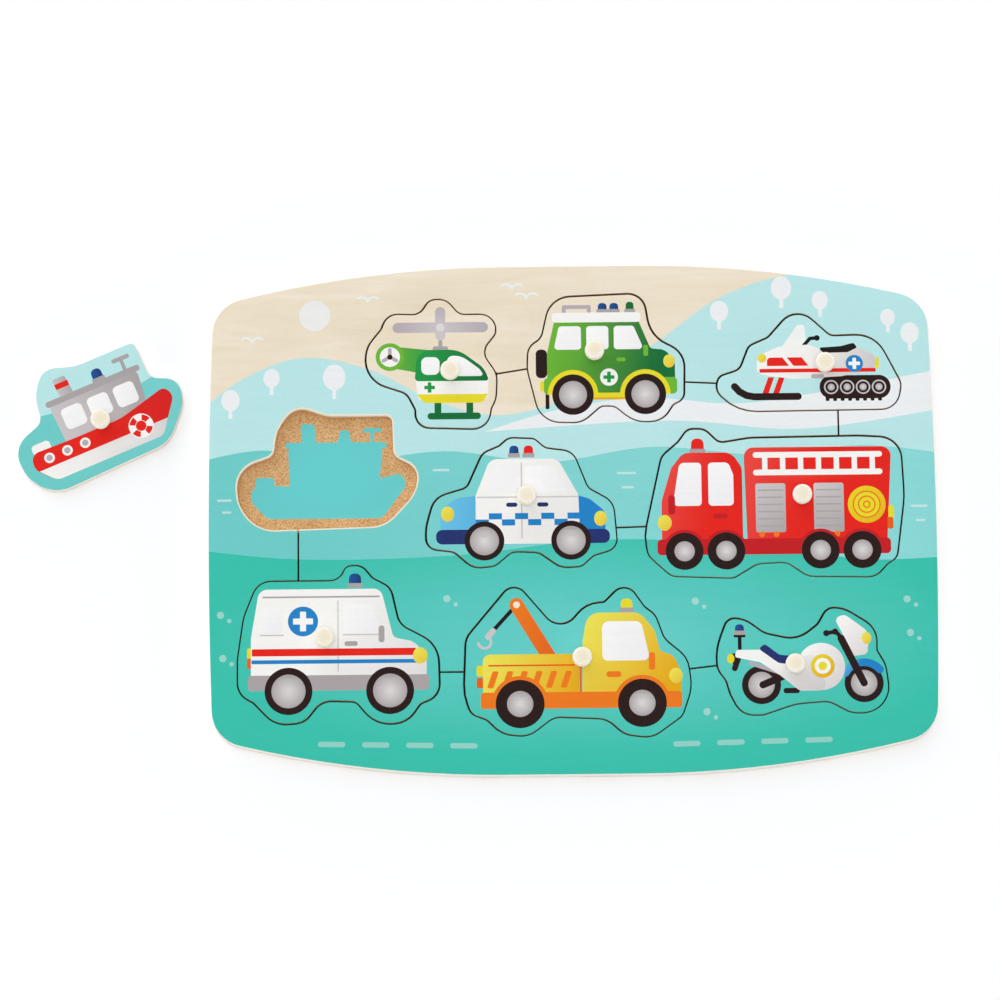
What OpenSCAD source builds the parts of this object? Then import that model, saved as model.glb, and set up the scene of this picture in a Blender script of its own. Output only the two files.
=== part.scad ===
// Peg puzzle: a printed front sheet on a backing sheet, with nine pieces that lift out by their pegs.
// The origin is the middle of the board's underside, +Z is up and +X runs along the long edge.
// Eight pieces lie in their recesses and the boat lies loose on the table, left of the board.

/* [Board] */
// Width of the board across its widest part
board_w = 300; // [290:1:360]
// Depth of the board across its middle
board_d = 213.5; // [207:0.5:260]
// Length of the straight stretch in the middle of each long edge
long_edge_straight = 56; // [10:1:100]
// Angle at which the bowed ends of the long edges reach the corners, in degrees
long_edge_slope = 13.5; // [9:0.5:15]
// Angle at which the bowed short edges reach the corners, in degrees
short_edge_slope = 2; // [0.5:0.5:4]
// Radius of the board's corners
corner_r = 15; // [8:0.5:20]
// Thickness of the front sheet, and so of the pieces sawn out of it
front_t = 5; // [4:0.5:9]
// Thickness of the backing sheet
backing_t = 3; // [2:0.5:6]

/* [Saw cuts] */
// Gap all round between a piece and its recess, when the piece is centred
play = 0.7; // [0.4:0.1:1.2]
// How far a piece rests away from the centre of its recess
rest_shift = 0.15; // [0:0.05:0.3]
// Width of the cuts that lead the saw from one recess to the next
lead_cut_w = 0.7; // [0.5:0.1:1.5]
// Diameter of the hole that the saw blade was threaded through
start_hole_d = 1.6; // [1:0.1:3]

/* [Pegs] */
// Diameter of a peg's head
peg_d = 8; // [7:0.5:12]
// Height of a peg above its piece
peg_h = 10; // [9:0.5:20]
// Thickness of a peg's head
head_t = 3.5; // [3:0.5:5]
// Diameter of a peg's neck
neck_d = 4.5; // [4:0.5:5.5]
// Diameter of a peg's foot, where it stands on its piece
foot_d = 5; // [5:0.5:7]
// Diameter of the spigot that is glued into the piece
spigot_d = 4; // [3:0.5:4.5]
// Wood left between a spigot and the underside of its piece
spigot_floor = 1.5; // [1:0.5:2.5]
// Room for glue round and under a spigot
glue_gap = 0.05; // [0.03:0.01:0.2]

/* [Loose boat] */
// Distance from the board's left edge to the boat's peg
boat_clear = 44.5; // [42:0.5:80]
// Distance of the boat's peg behind the board's middle
boat_back = 42.5; // [-80:0.5:80]
// Angle that the boat is turned by, in degrees
boat_turn = 23; // [-180:1:180]

/* [Hidden] */

// Largest turn between two points of a rounded corner, in degrees
arc_step = 12;
// Longest step between two points of a gently bowed edge
bow_step = 12;
// Least straight stretch between two rounded corners of the board
straight_min = 1;
// How far a cutting shape runs past the face that it cuts
overcut = 1;

// Colours of the sheets, the pegs and the printed pieces
front_colour = "mediumturquoise";
backing_colour = "peru";
peg_colour = "cornsilk";

// Width and depth of the board that the places and outlines below are drawn for
DRAWN_BOARD = [300, 213.5];
// How the places spread out over this board, and the scale at which the pieces keep their shape on it
spread = [board_w / DRAWN_BOARD.x, board_d / DRAWN_BOARD.y];
piece_scale = min(spread.x, spread.y);

// Drawn places of the pegs on the board, seen from above
boat_at = [-100, 16.5];
helicopter_at = [-50, 61];
off_road_car_at = [10, 69];
snowmobile_at = [105, 63];
police_car_at = [-19, 8];
fire_engine_at = [94.5, 7.5];
ambulance_at = [-102, -50.5];
tow_truck_at = [3, -59.5];
motorbike_at = [90, -63];

// Drawn outlines of the saw cuts, clockwise round each piece's peg: each corner is [x, y, radius]
boat_outline = [
    [-23, 10.5, 4.5], [-21.5, 22, 17], [-14, 31.5, 7.5], [-1, 27, 16], [25.5, 27, 2.5],
    [26, 10, 5], [36.5, 5, 7], [35, -5.5, 15.5], [22.5, -19, 13], [-30.5, -20.5, 14.5],
    [-37.5, -9, 14.5], [-38.5, 5, 10.5]
];
helicopter_outline = [
    [-8.5, 32, 5], [-1.5, 32, 6.5], [4, 25.5, 5], [19.5, 25.5, 6.5], [19, 17, 4.5], [13, 9.5, 6],
    [19.5, 0, 9], [19, -11, 12], [17, -14.5, 4.5], [15.5, -23.5, 7.5], [-14.5, -22.5, 6],
    [-14.5, -15, 2], [-18, -8, 6], [-36, -2, 12], [-34.5, 12, 12], [-28.5, 19.5, 4],
    [-26, 26, 6.5], [-12.5, 25.5, 5.5]
];
off_road_car_outline = [
    [-18, 24.5, 10.5], [20.5, 26, 7.5], [23.5, 7.5, 14], [37.5, 0.5, 10], [37, -19.5, 4.5],
    [32.5, -21.5, 4.5], [28, -28.5, 9], [16.5, -29, 13], [8, -22, 5], [2.5, -22, 3.5],
    [-5.5, -29, 9.5], [-22.5, -28.5, 10.5], [-28, -6, 15], [-27.5, 3.5, 6.5], [-22, 7, 6]
];
snowmobile_outline = [
    [-44, -4, 4], [-35, -1, 4.5], [-31, 9, 4.5], [-23, 12.5, 5], [-11, 26, 8.5], [3, 13, 4.5],
    [21.5, 13.5, 13], [32, -7.5, 6], [30, -18.5, 8], [-36.5, -19, 19.5], [-45, -10, 5.5]
];
police_car_outline = [
    [-7, 26, 5], [3.5, 25.5, 3.5], [8, 21.5, 5], [19.5, 20, 7], [25.5, 4.5, 5], [36, -1.5, 8],
    [37.5, -21, 5.5], [27.5, -24, 4], [22.5, -28.5, 4], [14, -29, 9], [5, -22.5, 6], [-6, -22, 6],
    [-13, -28, 5.5], [-22, -29, 8.5], [-30, -22, 4], [-41.5, -20.5, 5], [-41.5, -11.5, 18],
    [-38, 1, 9], [-24.5, 5, 4.5], [-18, 19.5, 6], [-11, 22.5, 2.5]
];
fire_engine_outline = [
    [-46.5, 29.5, 4.5], [-39.5, 29.5, 6], [-33.5, 23.5, 4.5], [-21, 25.5, 20], [24, 26, 60],
    [41.5, 25, 9.5], [42.5, 0, 40], [39, -25.5, 5], [35, -28, 2.5], [30, -33.5, 7.5],
    [2, -33, 8.5], [-6.5, -27, 7], [-18.5, -27.5, 9], [-28.5, -33.5, 6], [-54, -32.5, 6],
    [-59.5, -27.5, 4], [-63.5, -23.5, 5.5], [-65, -15.5, 21.5], [-57.5, 18, 7.5], [-50.5, 24, 4]
];
ambulance_outline = [
    [-27.5, 25, 8], [6, 25, 6], [8.5, 31, 3.5], [15, 31.5, 6], [19.5, 26, 3.5], [27, 22, 7],
    [30.5, 6.5, 8], [46.5, -2, 12.5], [47, -23.5, 7.5], [39, -26.5, 4], [33.5, -34.5, 11],
    [20.5, -35, 13.5], [12.5, -25.5, 4], [-1.5, -25, 8.5], [-8.5, -34, 8], [-20.5, -35, 11.5],
    [-29.5, -25.5, 3], [-36, -22, 8], [-36, -7.5, 20], [-33.5, 10, 22]
];
tow_truck_outline = [
    [-27.5, 33.5, 5.5], [-8.5, 11, 7.5], [2, 23.5, 12], [9.5, 24, 2.5], [18.5, 33, 5.5],
    [26, 22, 5], [30.5, 18.5, 7.5], [34, 8.5, 9], [43.5, 0.5, 10.5], [45, -12, 19],
    [41, -23.5, 6], [28.5, -32.5, 10.5], [17, -31, 10.5], [10, -24.5, 9.5], [-11.5, -23.5, 8],
    [-22, -31.5, 10], [-33, -30.5, 12], [-39, -24.5, 5], [-45.5, -22, 5], [-48.5, -14, 22],
    [-47.5, 9.5, 8.5]
];
motorbike_outline = [
    [-27, 20.5, 4.5], [-20, 20, 12], [-12, 14, 9.5], [1.5, 11, 12], [10, 17.5, 6.5],
    [14, 24.5, 5], [21, 24, 13], [34.5, 15.5, 10], [34, 6.5, 3], [37.5, 0.5, 9.5],
    [40, -19.5, 11], [23, -19.5, 11.5], [14, -14.5, 8.5], [0.5, -15.5, 22], [-13, -20, 7.5],
    [-22, -20, 8.5], [-26.5, -11, 8], [-28, -5.5, 6.5], [-31.5, -1, 8.5], [-32, 7.5, 26.5]
];

// Every recess: where its piece's peg would stand, and the outline of its saw cut
RECESSES = [
    [boat_at, boat_outline], [helicopter_at, helicopter_outline], [off_road_car_at, off_road_car_outline],
    [snowmobile_at, snowmobile_outline], [police_car_at, police_car_outline],
    [fire_engine_at, fire_engine_outline], [ambulance_at, ambulance_outline],
    [tow_truck_at, tow_truck_outline], [motorbike_at, motorbike_outline]
];

// Cuts that lead the saw from recess to recess: the two pieces that each joins,
// and the drawn points beside their pegs that it runs from and to
CUT_PIECES = [
    [boat_at, ambulance_at], [ambulance_at, tow_truck_at], [tow_truck_at, motorbike_at],
    [police_car_at, fire_engine_at], [fire_engine_at, snowmobile_at],
    [snowmobile_at, off_road_car_at], [off_road_car_at, helicopter_at]
];
CUT_ENDS = [
    [[-13, -16], [-11, 22]], [[44, -13.5], [-45, -4.5]], [[41, -4.5], [-28, 1]],
    [[34, -12.5], [-60.5, -11.5]], [[16, 23], [5.5, -15.5]],
    [[-42, -7], [34, -12]], [[-25, -5.5], [19, 0]]
];
last_cut = len(CUT_ENDS) - 1;

// Corners of the board: where the end tangents of its bowed edges cross
corner_reach = corner_r * tan((90 - long_edge_slope - short_edge_slope) / 2) + straight_min;
short_gain = 1 / cos(short_edge_slope) - 1;
short_share = short_gain / tan(short_edge_slope);
corner_x_base = board_w / 2 - short_share * corner_reach;
corner_x_rate = short_share / cos(short_edge_slope) - tan(short_edge_slope);
// Radius of the bows of a long edge, which run from its straight middle to the corners
bow_run = corner_x_base + corner_x_rate * (board_d / 2 - corner_reach * sin(long_edge_slope))
    - long_edge_straight / 2 - corner_reach * cos(long_edge_slope);
long_edge_r = bow_run / (sin(long_edge_slope) + corner_x_rate * (1 - cos(long_edge_slope)));
corner_x = long_edge_straight / 2 + long_edge_r * sin(long_edge_slope) + corner_reach * cos(long_edge_slope);
corner_y = board_d / 2 - long_edge_r * (1 - cos(long_edge_slope)) - corner_reach * sin(long_edge_slope);
short_edge_r = (corner_y / cos(short_edge_slope) - corner_reach) / tan(short_edge_slope);
short_edge_peak = board_w / 2 + short_edge_r * short_gain;
// Where the line of a long edge's straight middle meets the end tangents of its bows
shoulder_x = long_edge_straight / 2 + long_edge_r * tan(long_edge_slope / 2);
board_outline = [
    [-corner_x, corner_y, corner_r], [-shoulder_x, board_d / 2, long_edge_r],
    [shoulder_x, board_d / 2, long_edge_r], [corner_x, corner_y, corner_r],
    [short_edge_peak, 0, short_edge_r],
    [corner_x, -corner_y, corner_r], [shoulder_x, -board_d / 2, long_edge_r],
    [-shoulder_x, -board_d / 2, long_edge_r], [-corner_x, -corner_y, corner_r],
    [-short_edge_peak, 0, short_edge_r]
];

// Depth of a spigot's bore, and half-profile of a peg from its crown down to its spigot
bore_depth = front_t - spigot_floor;
crown_h = 0.4;
crown_r = 1.2;
brow_r = 1.2;
neck_z = (peg_h - head_t) / 2;
neck_r = neck_z;
peg_profile = [
    [0, peg_h, 0], [peg_d / 2, peg_h - crown_h, crown_r], [peg_d / 2, peg_h - head_t, brow_r],
    [neck_d / 2, neck_z, neck_r], [foot_d / 2, 0, 0], [spigot_d / 2, 0, 0],
    [spigot_d / 2, glue_gap - bore_depth, 0], [0, glue_gap - bore_depth, 0]
];

// Where a drawn place lies on this board
function on_board(drawn) = [spread.x * drawn.x, spread.y * drawn.y];

// Where a lead cut runs from, at end 0, or to, at end 1
function cut_end(cut, end) = on_board(CUT_PIECES[cut][end]) + piece_scale * CUT_ENDS[cut][end];

// The angle between -180 and 180 degrees that equals a
function wrapped(a) = a - 360 * floor((a + 180) / 360);

// Points of one rounded corner b, coming from a and going on to c; grow moves the outline outwards
function corner_points(a, b, c, grow) =
    let (
        heading = atan2(b.y - a.y, b.x - a.x),
        turn = wrapped(atan2(c.y - b.y, c.x - b.x) - heading),
        side = sign(turn),
        reach = b.z * tan(abs(turn) / 2),
        start = [b.x, b.y] - reach * [cos(heading), sin(heading)],
        centre = start + side * b.z * [-sin(heading), cos(heading)],
        run = abs(turn) * PI / 180 * b.z,
        steps = 2 * ceil(max(abs(turn) / arc_step, run / bow_step) / 2)
    )
    b.z == 0 ? [[b.x, b.y]] : [
        for (i = [0 : steps])
            let (along = heading + turn * i / steps)
                centre + (side * b.z - grow) * [sin(along), -cos(along)]
    ];

// Points of a clockwise outline with rounded corners
function rounded(corners, grow = 0) =
    let (n = len(corners))
    [
        for (i = [0 : n - 1])
            each corner_points(corners[(i + n - 1) % n], corners[i], corners[(i + 1) % n], grow)
    ];

// Points of a piece's drawn outline at the scale of this board
function piece_points(drawn, grow) = rounded([for (corner = drawn) piece_scale * corner], grow);

// A sheet with the board's outline
module board_sheet(thickness) {
    linear_extrude(thickness) polygon(rounded(board_outline));
}

// A saw cut between two points on the front sheet
module lead_cut(from, to) {
    run = to - from;
    translate([from.x, from.y, -overcut])
        rotate(atan2(run.y, run.x))
            translate([0, -lead_cut_w / 2, 0])
                cube([norm(run), lead_cut_w, front_t + 2 * overcut]);
}

// A piece's plate, with the bore for its peg at the middle
module plate(outline) {
    difference() {
        linear_extrude(front_t) polygon(piece_points(outline, -play / 2));
        translate([0, 0, spigot_floor]) cylinder(d = spigot_d + 2 * glue_gap, h = front_t, $fn = 48);
    }
}

// A turned peg standing on a plate
module peg() {
    color(peg_colour) translate([0, 0, front_t]) rotate_extrude($fn = 48) polygon(rounded(peg_profile));
}

// Lays a piece in its recess, moved off centre in the direction that it rests towards
module in_recess(at, towards) {
    place = on_board(at) + rest_shift * [cos(towards), sin(towards)];
    translate([place.x, place.y, backing_t]) children();
}

// Lays the boat on the table beside the board
module on_table() {
    translate([-board_w / 2 - boat_clear, boat_back, 0]) rotate(boat_turn) children();
}

module front_board() {
    color(front_colour) translate([0, 0, backing_t]) difference() {
        board_sheet(front_t);
        for (recess = RECESSES)
            translate([0, 0, -overcut])
                translate(on_board(recess[0]))
                    linear_extrude(front_t + 2 * overcut) polygon(piece_points(recess[1], play / 2));
        for (cut = [0 : last_cut]) lead_cut(cut_end(cut, 0), cut_end(cut, 1));
        // The hole that the blade was threaded through lies at the end of the last lead cut
        translate([0, 0, -overcut])
            translate(cut_end(last_cut, 1))
                cylinder(d = start_hole_d, h = front_t + 2 * overcut, $fn = 24);
    }
}

module backing_board() {
    color(backing_colour) board_sheet(backing_t);
}

module boat() { color("firebrick") on_table() plate(boat_outline); }
module boat_peg() { on_table() peg(); }

module helicopter() { color("seagreen") in_recess(helicopter_at, 45) plate(helicopter_outline); }
module helicopter_peg() { in_recess(helicopter_at, 45) peg(); }

module off_road_car() { color("forestgreen") in_recess(off_road_car_at, -135) plate(off_road_car_outline); }
module off_road_car_peg() { in_recess(off_road_car_at, -135) peg(); }

module snowmobile() { color("aliceblue") in_recess(snowmobile_at, -45) plate(snowmobile_outline); }
module snowmobile_peg() { in_recess(snowmobile_at, -45) peg(); }

module police_car() { color("dodgerblue") in_recess(police_car_at, 0) plate(police_car_outline); }
module police_car_peg() { in_recess(police_car_at, 0) peg(); }

module fire_engine() { color("red") in_recess(fire_engine_at, -90) plate(fire_engine_outline); }
module fire_engine_peg() { in_recess(fire_engine_at, -90) peg(); }

module ambulance() { color("whitesmoke") in_recess(ambulance_at, 135) plate(ambulance_outline); }
module ambulance_peg() { in_recess(ambulance_at, 135) peg(); }

module tow_truck() { color("orange") in_recess(tow_truck_at, -20) plate(tow_truck_outline); }
module tow_truck_peg() { in_recess(tow_truck_at, -20) peg(); }

module motorbike() { color("steelblue") in_recess(motorbike_at, -45) plate(motorbike_outline); }
module motorbike_peg() { in_recess(motorbike_at, -45) peg(); }

front_board();
backing_board();
boat();
boat_peg();
helicopter();
helicopter_peg();
off_road_car();
off_road_car_peg();
snowmobile();
snowmobile_peg();
police_car();
police_car_peg();
fire_engine();
fire_engine_peg();
ambulance();
ambulance_peg();
tow_truck();
tow_truck_peg();
motorbike();
motorbike_peg();
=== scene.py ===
import math

import bpy
from mathutils import Matrix, Vector
from mathutils.geometry import delaunay_2d_cdt


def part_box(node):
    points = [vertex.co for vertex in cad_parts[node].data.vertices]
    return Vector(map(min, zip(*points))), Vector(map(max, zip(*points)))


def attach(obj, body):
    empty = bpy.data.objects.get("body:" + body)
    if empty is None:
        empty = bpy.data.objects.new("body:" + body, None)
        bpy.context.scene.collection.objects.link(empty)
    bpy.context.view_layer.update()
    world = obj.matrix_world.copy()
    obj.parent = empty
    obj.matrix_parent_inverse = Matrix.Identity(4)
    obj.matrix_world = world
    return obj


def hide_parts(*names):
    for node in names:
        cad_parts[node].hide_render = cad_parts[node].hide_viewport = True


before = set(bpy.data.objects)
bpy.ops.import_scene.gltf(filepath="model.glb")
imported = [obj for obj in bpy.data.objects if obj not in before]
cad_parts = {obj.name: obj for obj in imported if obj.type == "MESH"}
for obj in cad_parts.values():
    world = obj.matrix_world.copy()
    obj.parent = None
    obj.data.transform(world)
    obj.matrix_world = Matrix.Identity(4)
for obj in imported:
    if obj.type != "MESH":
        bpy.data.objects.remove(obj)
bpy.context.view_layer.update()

# Peg puzzle: a printed plywood sheet on a fibreboard backing, nine sawn pieces and their turned pegs.
# The sheet was printed in one go and then sawn, so the print is drawn once, in millimetres on the whole
# sheet, and each piece takes the part of it that lies inside the piece's own CAD outline.

MM = 0.001

# Where each piece's peg stands on the print, in millimetres from the middle of the print
HOME = {
    "boat": (-100, 16),
    "helicopter": (-50, 60.5),
    "off_road_car": (10, 68.5),
    "snowmobile": (105, 62.5),
    "police_car": (-19, 7.5),
    "fire_engine": (94.5, 7),
    "ambulance": (-102, -51),
    "tow_truck": (3, -60),
    "motorbike": (90, -63.5),
}
# Turn of a piece that lies outside its recess, in degrees
TURN = {"boat": 23}
# How far the print lies off the middle of the board, in millimetres
PRINT_SHIFT = (0, 0.5)

# Thickness of the front sheet, in millimetres, and the colours of its face plies, core and glue lines
SHEET_T = (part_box("front_board")[1].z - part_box("front_board")[0].z) / MM
# The pale plies are whiter than the warm ones, partly as painted light on the rim and the loose boat's edge
PALE_PLIES = ("FFFFFE", "FAF5EB", "ECE2D0")
WARM_PLIES = ("FCF6E9", "F6ECD8", "EBDCC0")
# Sanded rounding of the board's rim, of the sawn edges and of the lower edges, in millimetres
RIM_ROUND = 0.4
SAWN_ROUND = 0.2
LOWER_ROUND = 0.15
# Faces across a rounding, and how many of them the ink runs over on the board's rim
ROUND_STEPS = 3
RIM_INKED = 2
# Turn above which an edge between two faces stays sharp, in degrees
SHARP = 40
# Saw gap round a piece, and width of the pale cream band printed along the open recess's edge, in
# millimetres
SAW_GAP = 0.7
PALE_BAND = 0.6
# Distance within which points are one, in millimetres, on a top that is cut up and on an underside
TOP_MERGE = 2e-3
FOOT_MERGE = 1e-5
# A CAD node's top face: how far up it looks, and how level its points lie, in metres
UPWARD = 0.99
LEVEL = 1e-6

# Largest turn between two points of a drawn arc in degrees, and share of a side that an arc may take
ARC_STEP = 9
ARC_SHARE = 0.49
# Radius of a drawn corner that looks sharp, in millimetres
CRISP = 0.01
# Points from one given point of a drawn curve to the next
CURVE_STEPS = 8
# Shares of its size at which an oval fade has a ring of points
GLOW_RINGS = (1, 0.75, 0.5, 0.25, 0.05)
# Height past the lower edge of the sheet that drawn land goes down to, in millimetres
LAND_FOOT = -120

# Turned peg, in millimetres: head thickness, neck and foot diameters, the crown's rise, and the radii of
# the crown and of the brow under the head
HEAD_T = 3.5
NECK_D = 4.5
FOOT_D = 5
CROWN_H = 0.4
CROWN_R = 1.2
BROW_R = 1.2
# Sides of a peg, and the turn in radians and step in millimetres from one peg's grain to the next
PEG_SIDES = 64
GRAIN_TURN = 0.9
GRAIN_STEP = 30

# The photograph's camera: its distance in metres, its tilt and roll in degrees, the point on the board's
# top that it looks at, and its lens and sensor in millimetres
CAMERA_DISTANCE = 2.0
CAMERA_TILT = 11.46
CAMERA_ROLL = -0.567
CAMERA_AIM = (-0.02978, 0.00765, 0.008)
CAMERA_LENS = 174.57
CAMERA_SENSOR = 36

# Studio light: strength of the white surroundings by the sine of the height above the horizon,
# and each lamp's energy, spread in degrees and heading
WHITE = (1, 1, 1, 1)
WORLD_LIGHT = ((0.0, 1.7), (0.2, 1.7), (0.4, 0.4), (1.0, 0.1))
LAMPS = {
    "overhead": (0.9, 24, (0, 0.2, -1)),
    "key": (1.16, 76, (0.28, -0.55, -1)),
}
# Floor: half its width and its depth under the board in metres, its grey, and the light that it adds
# where it is seen
FLOOR_HALF = 4
FLOOR_DROP = 0.0002
FLOOR_GREY = (0.95, 0.965, 0.985)
FLOOR_LIFT = 0.08

# Printing inks, as hex colours
INKS = {
    "white": "F8F7F4", "snow": "EFF2F4", "cream": "F4E9D3",
    "glass": "FCFBFB", "glass_shade": "F1F0F3",
    "pale_aqua": "BCE8E9", "aqua": "8BDAD9", "deep_aqua": "70CECA",
    "teal": "6CD2CE", "deep_teal": "39C2AE", "silhouette": "65D3D4",
    "lime": "6DB636", "green": "1F9647", "pine": "116B36",
    "lemon": "EFE95A", "yellow": "EADB2C", "amber": "E6AA12",
    "orange": "EF7A1D", "rust": "E4631A",
    "coral": "EC4740", "red": "E7231A", "ruby": "C31D22",
    "sky": "6CC6EA", "blue": "1F83C8", "royal": "17599F", "navy": "22306C",
    "silver": "CDC7C9", "grey": "ABA4A6", "lilac": "B7ADB5",
    # painted_gap_shade is painted shade: dark ink for the bottoms of the saw gaps on the backing
    "hub": "DEDBDA", "hub_rim": "ADA5A6", "tyre": "221110", "black": "140D0E", "painted_gap_shade": "2E1C10",
}
# Ink that a signal lamp fades to, where it isn't of one ink
LAMP_SHADE = {"royal": "navy"}


# Paints: each gives the linear colour and the cover of the ink at a point of the sheet

def linear(code):
    """Linear colour of a hex code."""
    parts = [int(code[i:i + 2], 16) / 255 for i in (0, 2, 4)]
    return [c / 12.92 if c <= 0.04045 else ((c + 0.055) / 1.055) ** 2.4 for c in parts]


def flat(ink, cover=1.0):
    """One ink all over."""
    colour = (*linear(INKS[ink]), cover)
    return lambda x, y: colour


def blended(first, last, share):
    """The colour at a share of the way from one linear colour to another."""
    share = min(max(share, 0), 1)
    return (*(a + (b - a) * share for a, b in zip(first, last)), 1.0)


def fade(first, last, start, end):
    """A straight fade from one ink at start to another at end."""
    a, b = linear(INKS[first]), linear(INKS[last])
    start, run = Vector(start), Vector(end) - Vector(start)
    return lambda x, y: blended(a, b, (Vector((x, y)) - start).dot(run) / run.length_squared)


def shaded(start, end):
    """White that fades to silver."""
    return fade("white", "silver", start, end)


def wipe(x, y):
    """No ink, and none of what lies under it."""
    return (1, 1, 1, None)


def layered(paints, point):
    """The inks of paints that lie one over another, from the lowest up."""
    colour, cover = (1, 1, 1), 0
    for paint in paints:
        *ink, share = paint(*point)
        if share is None:
            cover = 0
            continue
        cover += (1 - cover) * share
        weight = share / cover if cover else 0
        colour = [c + (i - c) * weight for c, i in zip(colour, ink)]
    return (*colour, cover)


# Outlines: closed lists of corners on the sheet, each (x, y), or (x, y, radius) where it is rounded

def arc(x, y, rx, ry, start, end):
    """Points of an arc between two angles in degrees, both included."""
    steps = max(1, math.ceil(abs(end - start) / ARC_STEP))
    angles = [math.radians(start + (end - start) * i / steps) for i in range(steps + 1)]
    return [(x + rx * math.cos(a), y + ry * math.sin(a)) for a in angles]


def disc(x, y, rx, ry=None):
    """A circle, or an ellipse."""
    return arc(x, y, rx, ry or rx, 0, 360)[:-1]


def wedge(x, y, inner, outer, start, end):
    """Part of a ring between two angles."""
    return arc(x, y, outer, outer, start, end) + arc(x, y, inner, inner, end, start)


def rounded(*corners):
    """The points of an outline, with arcs for its rounded corners."""
    points = []
    for i, corner in enumerate(corners):
        here = Vector(corner[:2])
        if len(corner) == 2:
            points.append(tuple(here))
            continue
        back = Vector(corners[i - 1][:2]) - here
        ahead = Vector(corners[(i + 1) % len(corners)][:2]) - here
        half = back.angle(ahead) / 2
        reach = min(corner[2] / math.tan(half), ARC_SHARE * back.length, ARC_SHARE * ahead.length)
        radius = reach * math.tan(half)
        middle = here + (back.normalized() + ahead.normalized()).normalized() * (radius / math.sin(half))
        start = here + back.normalized() * reach - middle
        end = here + ahead.normalized() * reach - middle
        first = math.degrees(math.atan2(start.y, start.x))
        turn = (math.degrees(math.atan2(end.y, end.x)) - first + 180) % 360 - 180
        points += arc(middle.x, middle.y, radius, radius, first, first + turn)
    return points


def bar(x0, y0, x1, y1, radius=CRISP):
    """A rectangle with rounded corners."""
    return [(x0, y0, radius), (x1, y0, radius), (x1, y1, radius), (x0, y1, radius)]


def stroke(width, *points):
    """A thick line through points, in straight parts with round ends."""
    half, parts = width / 2, []
    for a, b in zip(points, points[1:]):
        heading = math.degrees(math.atan2(b[1] - a[1], b[0] - a[0]))
        parts.append(arc(*a, half, half, heading + 90, heading + 270)
                     + arc(*b, half, half, heading - 90, heading + 90))
    return parts


def band(x, y, radius, width, start, end):
    """A thick arc."""
    return stroke(width, *arc(x, y, radius, radius, start, end))


def bend(p, q, r, s, t):
    """The value at a share t of the way from q to r on a smooth curve through four values."""
    return 0.5 * (2 * q + (r - p) * t + (2 * p - 5 * q + 4 * r - s) * t ** 2
                  + (3 * q - p - 3 * r + s) * t ** 3)


def smooth(*points):
    """Points of a smooth curve through points."""
    ends = [points[0], *points, points[-1]]
    curve = [tuple(bend(*values, i / CURVE_STEPS) for values in zip(*four))
             for four in zip(ends, ends[1:], ends[2:], ends[3:]) for i in range(CURVE_STEPS)]
    return curve + [points[-1]]


def land(crest):
    """Everything under a crest line."""
    return crest + [(crest[-1][0], LAND_FOOT), (crest[0][0], LAND_FOOT)]


def extent(outline):
    """The box round an outline: low x, low y, high x, high y."""
    xs, ys = [p[0] for p in outline], [p[1] for p in outline]
    return min(xs), min(ys), max(xs), max(ys)


# Parts that several drawings share. A drawing gives rows: a paint, or an ink's name, and what it fills.

def glowing(middle, rim, x, y, rx, ry=None):
    """Rings that carry an oval fade from one ink at the middle to another at the rim."""
    ry = ry or rx
    a, b = linear(INKS[middle]), linear(INKS[rim])
    rings = [disc(x, y, rx * share, ry * share) for share in GLOW_RINGS]
    return (lambda px, py: blended(a, b, math.hypot((px - x) / rx, (py - y) / ry))), *rings


def wheels(y, tyre, hub, *xs):
    """Tyres with pale domed hubs, all at one height."""
    for x in xs:
        yield "tyre", disc(x, y, tyre)
        yield glowing("hub", "hub_rim", x, y, hub)


def beacon(x, y, ink, width=4.6, height=4.2):
    """A domed signal lamp on a grey foot."""
    half, foot, top = width / 2, y + 0.8, y + 0.8 + height
    slope, curve, lip = half * 0.9, half * 0.8, half + 0.5
    yield (fade(ink, LAMP_SHADE.get(ink, ink), (x - lip, y), (x + lip, y)),
           [(x - half, foot), (x + half, foot), (x + slope, top, curve), (x - slope, top, curve)])
    yield "grey", bar(x - lip, y - 0.6, x + lip, y + 1.2, 0.4)


def lamp(x, y, rx, ry):
    """A yellow head lamp."""
    return fade("lemon", "amber", (x - rx, y + ry), (x + 2 * rx, y - 2 * ry)), disc(x, y, rx, ry)


def plus(x, y, size, width):
    """The two bars of a plus mark."""
    half, arm = width / 2, size / 2
    return [bar(x - arm, y - half, x + arm, y + half, 0.3), bar(x - half, y - arm, x + half, y + arm, 0.3)]


def badge(x, y, radius, ground, mark, size, width):
    """A disc of one ink with a plus mark of another."""
    yield ground, disc(x, y, radius)
    yield mark, *plus(x, y, size, width)


def pane(*corners):
    """A pale window that shades off to the lower right."""
    left, foot, right, top = extent(corners)
    return fade("glass", "glass_shade", (left, top), (right, foot)), corners


# The print

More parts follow.
